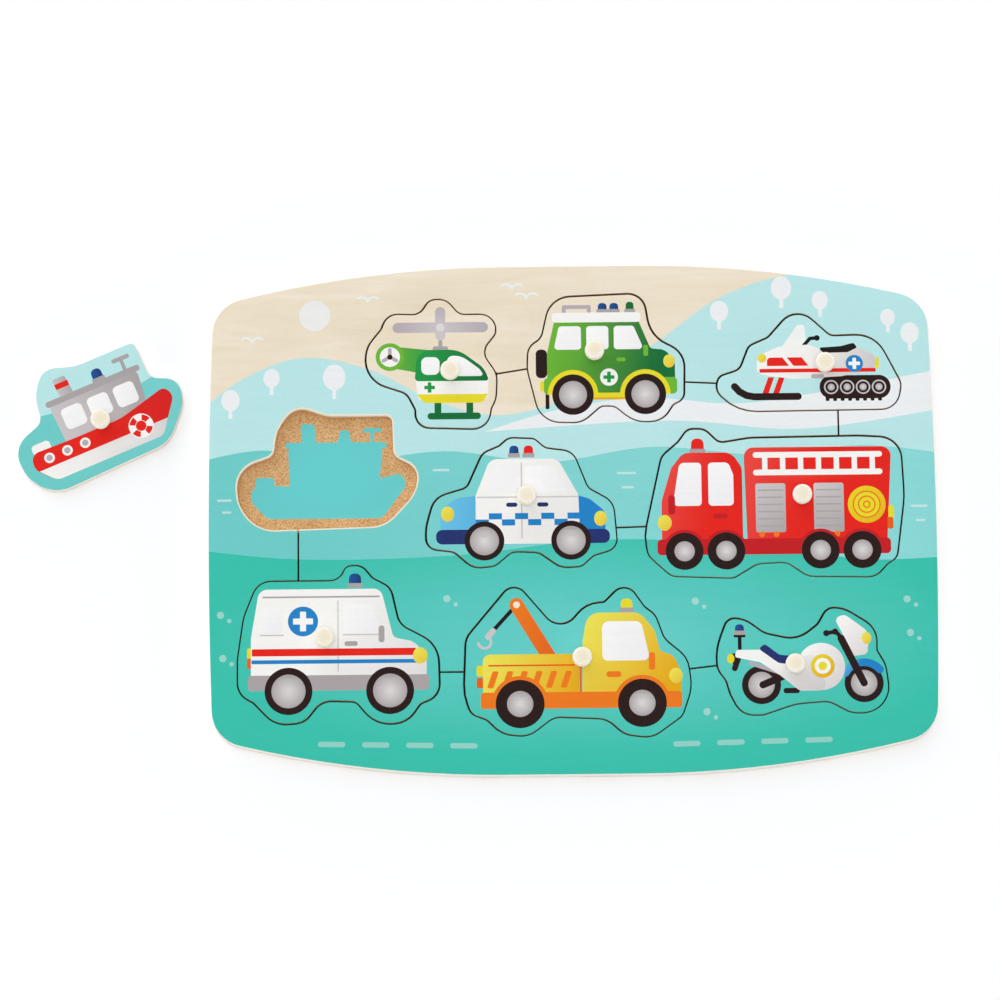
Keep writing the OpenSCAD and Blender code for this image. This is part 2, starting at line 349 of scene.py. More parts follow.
def scenery():
    """Sun, birds, hills, trees, snow, water and ground behind the vehicles. The sky is bare wood."""
    haze = flat("snow", 0.8)
    yield haze, disc(-106, 86, 6.5)
    for x, y in ((-132, 74), (-84, 91), (-24, 96), (-18, 92)):
        yield haze, *band(x - 2.6, y, 2.8, 0.9, 20, 130), *band(x + 2.6, y, 2.8, 0.9, 50, 160)
    hills = smooth((-160, 40), (-138, 58), (-112, 68), (-84, 63), (-56, 49), (-28, 43), (2, 52), (34, 72),
                   (64, 93), (100, 103), (160, 106))
    yield "pale_aqua", land(hills)
    for x, y, size in ((-141, 44, 4.5), (-98, 52, 5.5), (-124, 54, 4), (88, 89, 5), (104, 85, 4),
                       (141, 70, 4.5), (62, 80, 4.5), (132, 78, 3.6)):
        yield "snow", disc(x, y + size * 1.4, size * 0.85, size), bar(x - 0.8, y - 1.5, x + 0.8, y + size)
    bank = smooth((-36, 36), (-6, 45), (30, 50), (66, 47), (100, 51), (160, 62))
    yield "snow", bank + smooth((160, 45), (96, 36), (40, 40), (-36, 36))
    shore = smooth((-160, -12), (-112, -17), (-50, -16), (10, -10), (70, -12), (120, -19), (160, -18))
    yield "deep_teal", land(shore)
    yield glowing("teal", "deep_teal", 7, -52, 161, 49)
    water = smooth((-160, 23), (-128, 29), (-92, 24), (-52, 28), (-10, 23), (34, 29), (82, 25), (120, 29),
                   (160, 24))
    yield fade("aqua", "deep_aqua", (70, 25), (-110, -20)), water + shore[::-1]
    for x, y, length in ((-146, 8, 5), (-144, 3, 3), (-57, 20, 6), (19, 18, 7), (21, 12, 4), (140, 3, 6),
                         (142, -3, 3)):
        yield flat("snow", 0.5), *stroke(1, (x, y), (x + length, y))
    for x in (-104, -86, -68, -50, 41, 59, 77, 95):
        yield flat("snow", 0.3), *stroke(2.2, (x, -96 + abs(x) * 0.02), (x + 9, -96 + abs(x + 9) * 0.02))
    for x, y in ((-145, -40), (-144, -58), (137, -36), (138, -50), (50, -36), (54, -82), (-52, -34)):
        yield flat("snow", 0.35), disc(x, y, 1.5), disc(x + 3.6, y - 2.4, 0.9)


def boat():
    """A red and white boat with a grey wheelhouse."""
    yield fade("silver", "grey", (-118, 24), (-80, 30)), [
        (-116.5, 13), (-117.5, 31.5, 2.5), (-78, 31.5, 2.5), (-80, 13)]
    yield "grey", bar(-118.5, 30.6, -76.5, 33.2, 1.2)
    yield fade("silver", "grey", (-113, 36), (-105, 36)), [
        (-111.6, 33), (-112.2, 41, 1), (-106.6, 41, 1), (-105.8, 33)]
    yield "red", bar(-112, 36.4, -106.1, 38.8)
    yield "grey", *stroke(1.5, (-82.5, 33), (-82.5, 38)), *stroke(1.8, (-85.5, 38.2), (-79.5, 38.2))
    yield from beacon(-94, 33.4, "royal")
    for x in (-114, -102.4, -90.8):
        yield pane(*bar(x, 18.6, x + 9.2, 28, 2))
    yield "white", bar(-131, 14, -123, 18.4, 1.6)
    yield fade("red", "ruby", (-110, 8), (-20, 24)), [
        (-132, 15.2, 4), (-113, 14.6), (-92, 14.6, 24), (-70.5, 20, 3), (-68.2, 15, 4), (-78.5, 1, 4),
        (-126, 1, 5), (-133, 8.6, 5)]
    yield shaded((-110, 6), (-62, 2)), [(-131.4, 7.2), (-73.9, 7.2), (-78.5, 1, 4), (-126, 1, 5)]
    for x in (-125.5, -117.5, -109.5):
        yield "white", disc(x, 11, 2.2)
        yield "lilac", disc(x, 11, 1.3)
    buoy = (-85.5, 8.4)
    yield "white", disc(*buoy, 5.2)
    yield "red", *[wedge(*buoy, 2.4, 4.8, a, a + 45) for a in (20, 110, 200, 290)], disc(*buoy, 2.2)


def helicopter():
    """A green and white helicopter with a yellow belt."""
    legs = [bar(x, 43, x + 2.8, 49) for x in (-56.6, -43.4)]
    yield "pine", bar(-59.5, 41.3, -37.5, 44.1, 1.3), *legs
    yield "grey", *stroke(1.6, (-54, 71), (-54, 77)), bar(-57.2, 69.8, -50.8, 72.4, 0.9)
    yield fade("lime", "green", (-76, 66), (-58, 66)), [
        (-75, 72.6), (-57, 70.6), (-57, 60), (-74, 63.2)]
    yield "white", [(-63.4, 49.5, 2), (-64.6, 60, 2), (-34, 60), (-34.6, 49.5, 2)]
    yield "yellow", [(-60.8, 48.3, 3), (-64, 52), (-34.4, 52), (-36.6, 48.3, 3)]
    yield fade("green", "pine", (-62, 66), (-36, 60)), [
        (-64.8, 57.6, 1.5), (-63.6, 70.9, 6), (-46.5, 70.9, 12), (-36, 63, 9), (-33.8, 57.6, 1)]
    yield pane(*bar(-62, 60.3, -54.4, 67.8, 2.4))
    yield pane((-51.4, 59.6, 1.6), (-51.4, 68.3, 2.6), (-45.4, 68.3, 9), (-37.6, 62.4, 6), (-36, 59.6, 1.6))
    yield "green", *plus(-58.6, 54.9, 4.4, 1.5)
    tail = (-75, 68)
    yield "lime", disc(*tail, 5.9)
    yield "white", disc(*tail, 4.2)
    for angle in (90, 210, 330):
        yield "lilac", *stroke(1.5, tail, *arc(*tail, 3.1, 3.1, angle, angle)[:1])
    yield "tyre", disc(*tail, 1.1)
    mast = (-54, 80.4)
    yield fade("lilac", "silver", (-73, 80), (-54, 80)), *stroke(4.4, (-71.6, 80.4), mast)
    yield fade("silver", "lilac", (-54, 80), (-35, 80)), *stroke(4.4, mast, (-36.4, 80.4))
    yield fade("silver", "lilac", (-54, 80), (-54, 90)), *stroke(4.2, (-54, 77), (-54, 87))
    yield "hub", disc(*mast, 1.7)


def off_road_car():
    """A green off-road car with a white roof."""
    yield "tyre", bar(-14.3, 58.6, -9.6, 70.8, 2), bar(-10.4, 45.4, -8.8, 52, 0.6)
    yield "yellow", bar(-12.6, 53, -10, 57.2, 0.8)
    yield "lilac", *stroke(1.6, (-2.4, 86), (-2.4, 88.8), (8, 88.8), (8, 86))
    for x in (13.6, 18.4):
        yield from beacon(x, 86.6, "royal", 3.8, 3)
    yield from beacon(25, 86.6, "pine", 3.4, 3.4)
    yield fade("lime", "pine", (-10, 70), (34, 62)), [
        (-9.6, 51.5, 1.5), (-9.6, 69, 3), (-6.4, 83), (28.4, 83), (33.4, 70.8, 2), (39.5, 70.3, 5),
        (43.4, 65, 4), (43.4, 51.5, 1.5)]
    yield "white", bar(-7.4, 82.2, 29.4, 86.4, 1.4)
    yield pane((-6.8, 70.6, 1.4), (-4.6, 80.6, 1.4), (4.6, 80.6, 1.4), (4.6, 70.6, 1.4))
    yield pane(*bar(6.8, 70.6, 16, 80.6, 1.4))
    yield pane((18.2, 70.6, 1.4), (18.2, 80.6, 1.4), (26.4, 80.6, 1.4), (30.6, 70.6, 1.4))
    yield ("lime", bar(-11, 51.6, -3, 58.6, 1.6), bar(36, 51.6, 44.2, 58.6, 1.6),
           bar(19.2, 65.4, 23, 67.1, 0.8), bar(30.4, 67.6, 32.4, 72.4, 0.9))
    yield "amber", bar(8, 49.3, 24, 50.6, 0.5)
    yield "yellow", bar(8, 50.2, 24, 52.2, 0.5), *[wedge(x, 51.5, 8, 10.5, 0, 180) for x in (1, 31)]
    yield from badge(16, 58.8, 3.7, "white", "green", 4.6, 1.5)
    yield lamp(41, 65.4, 2.4, 2.8)
    yield from wheels(51.5, 8.6, 5.8, 1, 31)


def snowmobile():
    """A white snowmobile with red stripes."""
    yield flat("white", 0.92), [(87, 70), (94.2, 80.2, 1.2), (97.2, 80.2, 1.2), (98, 70)]
    for x in (79, 83.4):
        yield "red", [(x, 50.5), (x + 2.8, 58), (x + 5.2, 58), (x + 2.6, 50.5)]
    yield "tyre", *stroke(3, (67.8, 54.2), (69.8, 52), (72.6, 50.4), (75.8, 49.8), (94, 49.8))
    yield "black", *stroke(1.5, (96.4, 71), (99.4, 74.4), (102, 74.6)), disc(102.3, 74.6, 1.2)
    cleats = [bar(105.4 + 3.1 * i, 47.7, 107 + 3.1 * i, 50, 0.5) for i in range(8)]
    yield "tyre", bar(103, 48.7, 132.4, 58.6, 4.8), *cleats
    for x in (107.8, 114.4, 121, 127.6):
        yield "silver", disc(x, 53.6, 3)
        yield from wheels(53.6, 2.4, 1.5, x)
    yield shaded((92, 70), (124, 54)), [
        (77, 59.5, 3), (77.4, 67, 4), (86, 71, 6), (99, 71.8, 5), (105, 69.2, 4), (119, 70.6, 4),
        (126.6, 67, 4), (126.6, 61, 4), (112, 58.2, 4), (92, 57.2, 4)]
    yield "black", [(102.4, 70.4, 0.8), (105, 68.2, 1), (115, 68.4, 1.5), (119, 70.4, 0.7),
                    (117.4, 72.4, 1), (112, 71, 1.5)]
    yield ("red", bar(78.2, 60, 126.4, 61.6, 0.4),
           [(81.4, 62.8), (90.6, 62.8), (87.8, 66.4), (81.4, 66.4, 1.6)],
           [(92.4, 62.8), (98.6, 62.8), (95.8, 66.4), (89.6, 66.4)])
    yield from badge(117.6, 63.6, 3.6, "blue", "white", 4.8, 1.5)
    yield "lilac", bar(99.6, 57.4, 105, 59.2, 0.9)
    yield "yellow", bar(126.4, 61.4, 127.8, 66.2, 0.6)
    yield lamp(79.3, 66.2, 1.9, 1.9)


def police_car():
    """A blue car with a white cabin, a chequered band and two signal lamps."""
    yield from beacon(-24, 25.6, "royal", 4, 3.6)
    yield from beacon(-18, 25.6, "red", 4, 3.6)
    yield fade("sky", "blue", (-56, 8), (0, 0)), [
        (-54.6, -8), (-54.6, 3, 5), (-48, 8, 8), (-36, 9.4), (0, 9.4), (7, 7.4, 8), (13.4, 2, 5),
        (13.4, -8)]
    yield "navy", bar(-56.4, -11.3, -30, -5.2, 2.6), bar(-10, -11.3, 15.2, -5.4, 2.6)
    yield shaded((-30, 20), (80, -60)), [
        (-40, -11.3), (-40, 9, 3), (-34, 24.4, 4.5), (-6, 24.4, 5), (2.4, 9, 3), (3, -11.3)]
    yield pane((-36.8, 10, 1.6), (-32.2, 21.6, 2), (-22.4, 21.6, 1.6), (-22.4, 10, 1.6))
    yield pane((-19.6, 10, 1.6), (-19.6, 21.6, 1.6), (-8, 21.6, 2), (-1.4, 10, 1.6))
    yield "silver", bar(-21.3, -9, -20.7, 22.8), bar(-39.4, 8, 2.2, 8.6)
    for i in range(8):
        across, up = 5.4 * i, 2.6 * (i % 2)
        yield "blue", bar(-40 + across, -3.6 + up, -34.6 + across, -1 + up)
    yield "navy", bar(-27.4, 4.2, -22.8, 6, 0.9), bar(-14.6, 4.2, -10, 6, 0.9)
    yield lamp(-51.6, 1.4, 2.7, 3.2)
    yield lamp(11.4, -1, 2.6, 3.2)
    yield from wheels(-10, 8.2, 6, -36.5, -0.8)


def fire_engine():
    """A red fire engine with a white ladder, grey lockers and a yellow hose reel."""
    yield from beacon(52, 26.8, "red", 5.4, 4.8)
    yield fade("coral", "red", (38, 14), (56, 8)), [
        (36.8, -11), (36.8, 6, 6), (41, 20, 5), (46, 26.4, 5), (66, 26.4, 6), (70.2, 20, 5), (70.2, -11)]
    yield fade("coral", "red", (72, 14), (92, 10)), [
        (72, -11), (71, 28.4, 4), (132, 28.4, 4), (129.6, -11)]
    yield "ruby", bar(34.8, -16.6, 131, -10, 1.8)
    yield pane((41.4, 4, 2), (44.4, 22.2, 2.4), (53.4, 22.2, 1.6), (53.4, 4, 1.6))
    yield pane((56.2, 4, 1.6), (56.2, 22.2, 1.6), (64.6, 22.2, 2.4), (66.6, 17, 2), (66.6, 4, 1.6))
    yield "ruby", bar(39.6, 0.4, 42.4, 8.6, 1.3), bar(58, -1.4, 64, 0.6, 0.9)
    for y in (25.2, 17.8):
        yield "white", *stroke(2.4, (76, y), (127, y))
    yield "white", *[bar(78.6 + 7.4 * i, 18, 80.8 + 7.4 * i, 25) for i in range(7)]
    for x in (75.6, 99.6):
        yield fade("silver", "grey", (x, 12), (x + 14, -8)), bar(x, -7.4, x + 12.4, 13.2, 1)
        yield "grey", *[bar(x + 1, -5 + 3 * i, x + 11.4, -4.4 + 3 * i) for i in range(6)]
    reel = (121.4, 4)
    yield fade("yellow", "amber", (113, 12), (134, -8)), disc(*reel, 7.8)
    for radius in (5.8, 3.7, 1.6):
        yield "orange", disc(*reel, radius)
        yield "yellow", disc(*reel, radius - 0.6)
    yield "orange", *[disc(x, -8.2, 1.2) for x in (78, 84, 103, 109, 121)]
    yield "yellow", bar(130.2, -1.6, 132.6, 3.6, 0.9)
    yield "rust", bar(129.8, -6.4, 132.2, -1.4, 0.9)
    yield lamp(38, -3, 2.9, 3.3)
    for x in (46, 63.2, 102, 119.2):
        yield "ruby", wedge(x, -15, 7, 9, 0, 180)
        yield from wheels(-15, 7.8, 4.2, x)


def ambulance():
    """A white ambulance with a red and a blue stripe."""
    yield from beacon(-89.6, -28.4, "royal", 5.2, 4.4)
    yield "yellow", bar(-134, -58.4, -131, -54, 0.8)
    yield "rust", bar(-134, -62.6, -131, -58.2, 0.8)
    yield shaded((-96, -40), (-28, -84)), [
        (-132.4, -66), (-132.4, -50, 4), (-129, -29.6, 4), (-79, -29.6, 4), (-74, -50, 3), (-66, -51.6, 5),
        (-60.4, -57, 4), (-60.4, -66)]
    yield "grey", bar(-127.6, -33.2, -79.6, -32.5)
    yield pane(*bar(-128, -48, -119.6, -36.6, 2))
    yield pane((-94.4, -48, 2), (-94.4, -36, 2), (-82.6, -36, 2), (-79.4, -48, 2))
    yield ("silver", bar(-128.7, -49, -118.9, -48.4), bar(-96.9, -64, -96.4, -34.4),
           bar(-94.6, -49, -79, -48.4))
    yield "red", bar(-132, -57.4, -64.6, -54.4, 0.5)
    yield "blue", bar(-132.2, -60.6, -62, -59, 0.5)
    yield from badge(-111, -43, 6.2, "blue", "white", 8.2, 2.5)
    yield ("grey", bar(-133.6, -71.8, -59.4, -65.4, 1.2), bar(-94, -53.4, -88.6, -51.4, 0.9),
           bar(-80, -52, -77.6, -45, 1.1))
    yield lamp(-63, -57.6, 3, 3.4)
    yield from wheels(-72, 9.8, 7, -117, -75.4)


def tow_truck():
    """A yellow tow truck with an orange lifting arm."""
    hook = (-33.4, -47.6)
    yield "black", *stroke(1.6, (-25, -38.4), hook)
    yield "silver", *stroke(2.4, hook, (-35.4, -50)), *band(-36.8, -52.2, 2.6, 1.1, 50, -170)
    yield "yellow", bar(-40.2, -66.4, -37, -62, 0.9)
    yield "rust", bar(-40.2, -71.4, -37, -67, 0.9)
    arm_top = (-23.6, -36.8)
    yield fade("orange", "rust", (-26, -40), (-6, -56)), *stroke(5.8, (-9.6, -60), arm_top)
    yield "cream", disc(*arm_top, 1.4)
    yield from beacon(21.6, -39.6, "yellow", 5, 4.2)
    yield fade("lemon", "amber", (-38, -56), (0, -74)), [
        (-37.6, -74), (-37.6, -57.4, 3), (1.8, -57.4, 0.8), (1.8, -74)]
    yield "rust", bar(-35.4, -62.4, 0, -61.7)
    for x in range(-36, -4, 6):
        yield "orange", [(x, -71.4, 0.6), (x + 2.6, -71.4, 0.6), (x + 5, -64.4, 0.6),
                         (x + 2.4, -64.4, 0.6)]
    yield fade("lemon", "amber", (2, -40), (38, -70)), [
        (3, -74), (3.4, -52, 9), (5.4, -40.4, 6), (27, -40.4, 6), (33, -48, 5), (35.2, -57, 3),
        (40.4, -58, 5), (43.6, -65, 5), (43.6, -74)]
    yield pane((11.4, -60.4, 2.2), (11.4, -44, 3), (27.4, -44, 3), (31, -60.4, 2.2))
    yield ("orange", bar(-38.6, -80, 43.8, -73.2, 1.4), bar(30.4, -64.4, 33, -57, 1.2),
           bar(13, -67.2, 19, -64.8, 1))
    yield "rust", bar(2, -73.4, 2.8, -57.6)
    yield "orange", *[wedge(x, -78, 9, 11.6, 0, 180) for x in (-22.5, 27.5)]
    yield lamp(41.4, -66.8, 2.8, 3.2)
    yield from wheels(-78, 10, 5.4, -22.5, 27.5)


def motorbike():
    """A white motorbike with a blue mudguard."""
    yield "black", *stroke(1.5, (67.8, -56), (67.8, -50.6)), bar(65.4, -51.2, 70.2, -50, 0.4)
    yield from beacon(67.8, -49.6, "royal", 3.8, 3)
    axle = (118.4, -70.6)
    yield from wheels(-71, 8, 5.4, 76.4)
    yield from wheels(axle[1], 8, 5.4, axle[0])
    yield fade("sky", "blue", (110, -60), (116, -64)), *band(*axle, 8.6, 3.2, 150, 40)
    yield "lilac", *stroke(1.6, (72, -62), (84, -66))
    yield "tyre", *stroke(3, (77, -71), (88, -66.4)), bar(85.4, -74.6, 92, -72.4, 0.9)
    yield "tyre", *stroke(2.4, (67, -60), (65.6, -64)), disc(65.6, -60, 2.2)
    yield "yellow", disc(64, -60, 1.5, 2)
    yield shaded((94, -56), (112, -78)), disc(101, -63.6, 9.8)
    yield shaded((80, -58), (98, -80)), [
        (65.6, -59.4, 1), (66.4, -56.4, 1), (77, -56.4, 4), (88, -62, 4), (98, -58, 2), (104, -73.6, 3),
        (92, -73.6, 4), (84, -67, 3), (76, -61.6, 3)]
    yield "navy", [(75.4, -56, 1), (78, -54, 1.4), (84, -58.6, 3), (92.4, -59.4, 1), (92, -63, 1),
                   (83.6, -62, 4)]
    yield shaded((110, -46), (124, -66)), [
        (106.8, -43.6, 2), (111, -42, 3), (121, -49.6, 5), (120, -58.6, 2), (114.4, -59.4, 1),
        (111.4, -54.6, 1), (110, -50)]
    yield "tyre", *stroke(3, (109.4, -52), axle), *stroke(1.7, (103.4, -49.8), (107.4, -49.2), (109.6, -52))
    yield "tyre", disc(103.4, -49.8, 1.3), disc(107, -49.2, 1.3)
    yield lamp(119.8, -52, 2, 2.5)
    ring = (101.6, -63.4)
    yield fade("yellow", "amber", (96, -58), (106, -68)), disc(*ring, 4.9)
    yield "white", disc(*ring, 3.3)
    yield "yellow", disc(*ring, 1.8)


def shapes(*rows):
    """The outlines of a drawing's rows, with their corners rounded, each with its paint."""
    return [(rounded(*outline), flat(paint) if isinstance(paint, str) else paint)
            for paint, *outlines in rows for outline in outlines]


VEHICLES = [shape for draw in (boat, helicopter, off_road_car, snowmobile, police_car, fire_engine,
                               ambulance, tow_truck, motorbike) for shape in shapes(*draw())]
SHEET_PRINT = shapes(*scenery()) + VEHICLES


# Meshes

# Material slots of a sheet, and the ink of its faces that carry none
TOP, RIM, UNDER, WALL, OPEN_WALL = range(5)
BARE = (1, 1, 1, 0)


class Move:
    """Carries points of the printed sheet to where a piece lies, and back."""

    def __init__(self, home=(0, 0), place=(0, 0), turn=0):
        self.home = Vector(home)
        self.place = Vector(place)
        self.spin = Matrix.Rotation(math.radians(turn), 2)

    def out(self, point):
        """Where a point of the sheet comes to lie."""
        return self.spin @ (Vector(point) - self.home) + self.place

    def back(self, point):
        """The point of the sheet that lies at a place."""
        return self.spin.transposed() @ (Vector(point) - self.place) + self.home


def sides(ring):
    """Each member of a ring with the one after it."""
    return zip(ring, [*ring[1:], *ring[:1]])


def area(outline):
    """Signed area of an outline, positive where it runs counterclockwise."""
    return sum(a[0] * b[1] - b[0] * a[1] for a, b in sides(outline)) / 2


def inside(point, outline):
    """Whether a point lies inside an outline."""
    x, y = point
    crossed = [a[0] + (b[0] - a[0]) * (y - a[1]) / (b[1] - a[1]) > x
               for a, b in sides(outline) if (a[1] > y) != (b[1] > y)]
    return sum(crossed) % 2 == 1


def meet(first, last):
    """Whether two extents meet."""
    return first[0] < last[2] and first[2] > last[0] and first[1] < last[3] and first[3] > last[1]


def chains(after):
    """Closed chains of a mapping from each member to the next."""
    after, found = dict(after), []
    while after:
        first = next(iter(after))
        chain, here = [], first
        while here in after:
            chain.append(here)
            here = after.pop(here)
        found.append(chain)
    return found


def rim_of(faces):
    """Edges that only one of the faces has, each as start: end with the face on its left."""
    edges = {edge for ring in faces for edge in sides(ring)}
    return {a: b for a, b in edges if (b, a) not in edges}


def top_outlines(node_name):
    """Outlines of a CAD node's top face in millimetres, the outer one first and counterclockwise."""
    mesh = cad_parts[node_name].data
    top = max(v.co.z for v in mesh.vertices)
    spots = [(round(v.co.x / MM, 3), round(v.co.y / MM, 3)) if top - v.co.z < LEVEL else None
             for v in mesh.vertices]
    faces = [[spots[i] for i in face.vertices] for face in mesh.polygons if face.normal.z > UPWARD]
    rim = rim_of([face for face in faces if None not in face])
    return sorted(chains(rim), key=area, reverse=True)


def outward(outline):
    """Mitred outward direction at each point of an outline that has its face on the left."""
    points = [Vector(p[:2]) for p in outline]
    runs = [(b - a).normalized() for a, b in sides(points)]
    ways = [Vector((run.y, -run.x)) for run in runs]
    return [(a + b) / (1 + a.dot(b)) for a, b in sides(ways[-1:] + ways[:-1])]


def shifted(outline, distance):
    """An outline moved outwards by a distance."""
    return [tuple(Vector(p) + n * distance) for p, n in zip(outline, outward(outline))]


def cut_up(outlines, drawn, merge):
    """Splits a face along drawn outlines. Gives its points, the corner of its own outlines that each point
    is, or None, and its triangles, each with the numbers of the drawn outlines over it in order."""
    points, rings = [], []
    for outline in [*outlines, *drawn]:
        rings.append(list(range(len(points), len(points) + len(outline))))
        points += [Vector(p[:2]) for p in (outline if area(outline) > 0 else outline[::-1])]
    own, corners = len(outlines), sum(len(outline) for outline in outlines)
    spots, _, triangles, origins, _, sources = delaunay_2d_cdt(points, [], rings, 1, merge)
    origins = [min(origin, default=corners) for origin in origins]
    kept = []
    for triangle, source in zip(triangles, sources):
        if [s for s in source if s < own] == [0]:
            kept.append((triangle, sorted(s - own for s in source if s >= own)))
    return spots, [origin if origin < corners else None for origin in origins], kept


def along(chain, spots, ways):
    """Outward direction at each point of a chain: known at the corners, and by distance in between."""
    first = next(i for i, spot in enumerate(chain) if spot in ways)
    found, waiting = {}, []
    for spot in chain[first:] + chain[:first + 1]:
        if spot not in ways:
            waiting.append(spot)
            continue
        for between in waiting:
            share = (spots[between] - spots[last]).length / (spots[spot] - spots[last]).length
            found[between] = ways[last].lerp(ways[spot], share)
        found[spot] = ways[spot]
        last, waiting = spot, []
    return [found[spot] for spot in chain]


def edge_profile(edge_round, low, high):
    """Rounded profile of a sheet's edge, as (reach, height) rows from its top down to its foot."""
    turns = [math.pi / 2 * k / ROUND_STEPS for k in range(ROUND_STEPS + 1)]
    upper = [(edge_round * math.sin(a), high - edge_round * (1 - math.cos(a))) for a in turns[1:]]
    lower = [(edge_round - LOWER_ROUND * (1 - math.cos(a)), low + LOWER_ROUND * (1 - math.sin(a)))
             for a in turns]
    return upper + lower


def underside(points, rings):
    """Triangles that close a sheet between the rings of points at the foot of its edges."""
    rings = sorted(rings, key=lambda ring: area([points[i] for i in ring]), reverse=True)
    order = rings[0] + [i for ring in rings[1:] for i in reversed(ring)]
    _, corners, triangles = cut_up([[points[i] for i in ring] for ring in rings], [], FOOT_MERGE)
    return [[order[corners[i]] for i in reversed(triangle)] for triangle, _ in triangles]


def slab(name, node_name, outlines, rim_round, rim_inked, design, move, materials, open_recess=()):
    """A closed sheet as thick as a CAD node, with rounded edges and its top cut along the design.
    Materials: top, rim, underside, recess walls and the walls of the open recess.
    Each corner of a face keeps its ink, and each point its place on the printed sheet."""
    low, high = (corner.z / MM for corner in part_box(node_name))
    rounds = [rim_round] + [SAWN_ROUND] * (len(outlines) - 1)
    tops = [shifted(o, -r) for o, r in zip(outlines, rounds)]
    drawn = [([move.out(p) for p in outline], paint) for outline, paint in design]
    drawn = [(outline, paint) for outline, paint in drawn if meet(extent(outline), extent(outlines[0]))]
    spots, corners, triangles = cut_up(tops, [outline for outline, _ in drawn], TOP_MERGE)
    ways = [way for o in outlines for way in (outward(o) if area(o) > 0 else outward(o)[::-1])]
    ways = {spot: ways[corner] for spot, corner in enumerate(corners) if corner is not None}

    points = [(*p, high) for p in spots]
    faces, rim_inks = [], {}
    for ring, over in triangles:
        inks = [layered([drawn[i][1] for i in over], move.back(spots[corner])) for corner in ring]
        faces.append((list(ring), TOP, inks))
        for k in range(3):
            rim_inks[ring[k - 1], ring[k]] = (inks[k - 1], inks[k])

    feet = []
    for chain in chains(rim_of([ring for ring, _, _ in faces])):
        outline = [spots[i] for i in chain]
        outer = area(outline) > 0
        reaches = along(chain, spots, ways)
        # Filled recesses' walls get the darker painted shade, the open recess's walls the paler
        walls = [OPEN_WALL if inside(move.back(p), open_recess) else WALL for p in outline]
        inked = rim_inked if outer else ROUND_STEPS
        upper = chain
        for row, (reach, z) in enumerate(edge_profile(rim_round if outer else SAWN_ROUND, low, high)):
            lower = list(range(len(points), len(points) + len(chain)))
            points += [(*(p + way * reach), z) for p, way in zip(outline, reaches)]
            for i, j in sides(range(len(chain))):
                first, last = rim_inks[chain[i], chain[j]] if row < inked else (BARE, BARE)
                slot = TOP if row < inked else RIM if outer else walls[i]
                faces.append(([upper[i], lower[i], lower[j], upper[j]], slot, [first, first, last, last]))
            upper = lower
        feet.append(upper)
    faces += [(ring, UNDER, [BARE] * 3) for ring in underside(points, feet)]
    places = [(*move.back(p[:2]), p[2] - low) for p in points]
    return solid(name, points, faces, places, materials)


def add(name, data):
    """A new object in the scene."""
    made = bpy.data.objects.new(name, data)
    bpy.context.scene.collection.objects.link(made)
    return made


def solid(name, points, faces, places, materials):
    """A mesh object from points in millimetres, and faces with their material slot and inks.
    Points that no face uses are left out."""
    used = {}
    for ring, _, _ in faces:
        for i in ring:
            used.setdefault(i, len(used))
    rings = [[used[i] for i in ring] for ring, _, _ in faces]
    mesh = bpy.data.meshes.new(name)
    mesh.from_pydata([Vector(points[i]) * MM for i in used], [], rings)
    for material in materials:
        mesh.materials.append(material)
    mesh.polygons.foreach_set("material_index", [slot for _, slot, _ in faces])
    mesh.polygons.foreach_set("use_smooth", [len(ring) == 4 for ring in rings])
    mesh.set_sharp_from_angle(angle=math.radians(SHARP))
    ink = mesh.color_attributes.new("ink", "FLOAT_COLOR", "CORNER")
    ink.data.foreach_set("color", [part for _, _, inks in faces for colour in inks for part in colour])
    place = mesh.attributes.new("place", "FLOAT_VECTOR", "POINT")
    place.data.foreach_set("vector", [part for i in used for part in places[i]])
    return add(name, mesh)


def peg_profile(radius, height):
    """Half-profile of a peg from the middle of its crown down to the middle of its foot."""
    head, neck = height - HEAD_T, (height - HEAD_T) / 2
    return rounded((0, height), (radius, height - CROWN_H, CROWN_R), (radius, head, BROW_R),
                   (NECK_D / 2, neck, neck), (FOOT_D / 2, 0), (0, 0))


def peg(piece, number):
    """A turned peg that stands on its piece."""
    low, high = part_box(piece + "_peg")
    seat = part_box(piece)[1].z
    x, y = (low.x + high.x) / 2 / MM, (low.y + high.y) / 2 / MM
    profile = peg_profile((high.x - low.x) / 2 / MM, (high.z - seat) / MM)
    angles = [math.tau * i / PEG_SIDES for i in range(PEG_SIDES)]
    points, rows = [(x, y, high.z / MM)], []
    for radius, z in profile[1:-1]:
        rows.append(range(len(points), len(points) + PEG_SIDES))
        points += [(x + radius * math.cos(a), y + radius * math.sin(a), seat / MM + z) for a in angles]
    rings = [[a, c, d, b] for upper, lower in zip(rows, rows[1:])
             for (a, b), (c, d) in zip(sides(upper), sides(lower))]
    rings += [[0, a, b] for a, b in sides(rows[0])] + [rows[-1][::-1]]
    turn = Matrix.Rotation(number * GRAIN_TURN, 2)
    places = [(*(turn @ Vector((p[0] - x, p[1] - y))), p[2] + GRAIN_STEP * number) for p in points]
    faces = [(ring, TOP, [BARE] * len(ring)) for ring in rings]
    made = solid(piece + "_peg_turned", points, faces, places, [peg_wood])
    made.data.shade_smooth()
    return made


# Materials

def node(tree, kind, inputs=None, **settings):
    """Adds a shader node with settings, and values or links on its inputs. Gives its outputs."""
    made = tree.nodes.new("ShaderNode" + kind)
    for key, value in settings.items():
        setattr(made, key, value)
    for key, value in (inputs or {}).items():
        if isinstance(value, bpy.types.NodeSocket):
            tree.links.new(value, made.inputs[key])
        else:
            made.inputs[key].default_value = value
    return made.outputs


def emptied(owner):
    """A new material or world, and its node tree, emptied."""
    owner.use_nodes = True
    owner.node_tree.nodes.clear()
    return owner, owner.node_tree


